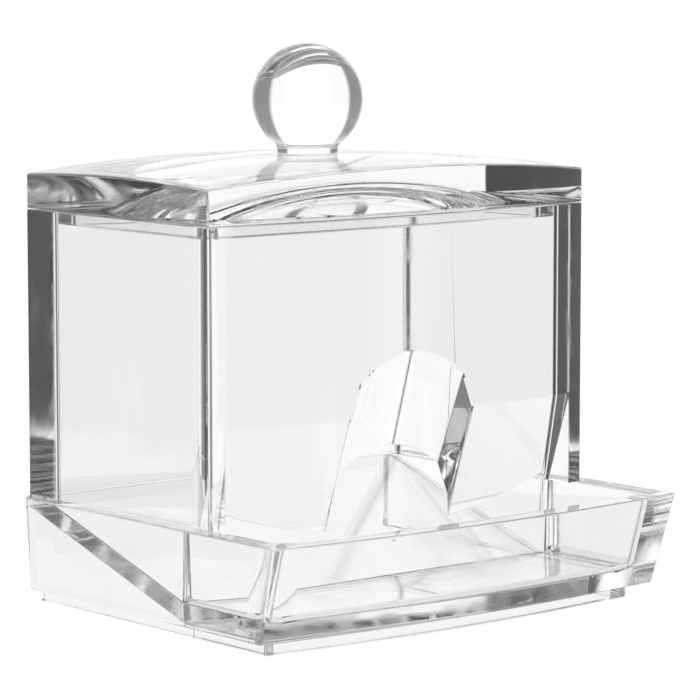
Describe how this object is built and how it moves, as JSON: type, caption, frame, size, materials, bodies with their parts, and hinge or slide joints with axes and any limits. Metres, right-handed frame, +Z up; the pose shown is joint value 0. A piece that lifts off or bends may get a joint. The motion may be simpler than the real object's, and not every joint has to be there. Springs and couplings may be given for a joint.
{
  "type": "cotton swab dispenser",
  "caption": "Clear cotton swab dispenser: a bin with a lift-off domed lid and ball knob feeds through a finger notch and down a ramp into an open front tray.",
  "frame": {"origin": "on the surface it stands on, under the middle of the whole footprint", "axes": "+Z up, the open tray faces -Y, +X to the right seen from the front"},
  "size_m": [0.0968, 0.0805, 0.1045],
  "materials": {
    "clear_plastic": "clear polished plastic"
  },
  "bodies": {
    "dispenser": {"base_tray": "clear_plastic", "ramp_plate": "clear_plastic", "bin_shell": "clear_plastic"},
    "lid": {"lid_cover": "clear_plastic", "lid_knob": "clear_plastic"}
  },
  "joints": [
    {"name": "lid_lift", "type": "slide", "parent": "dispenser", "child": "lid", "axis": [0, 0, 1], "range_m": [0, 0.05]}
  ]
}
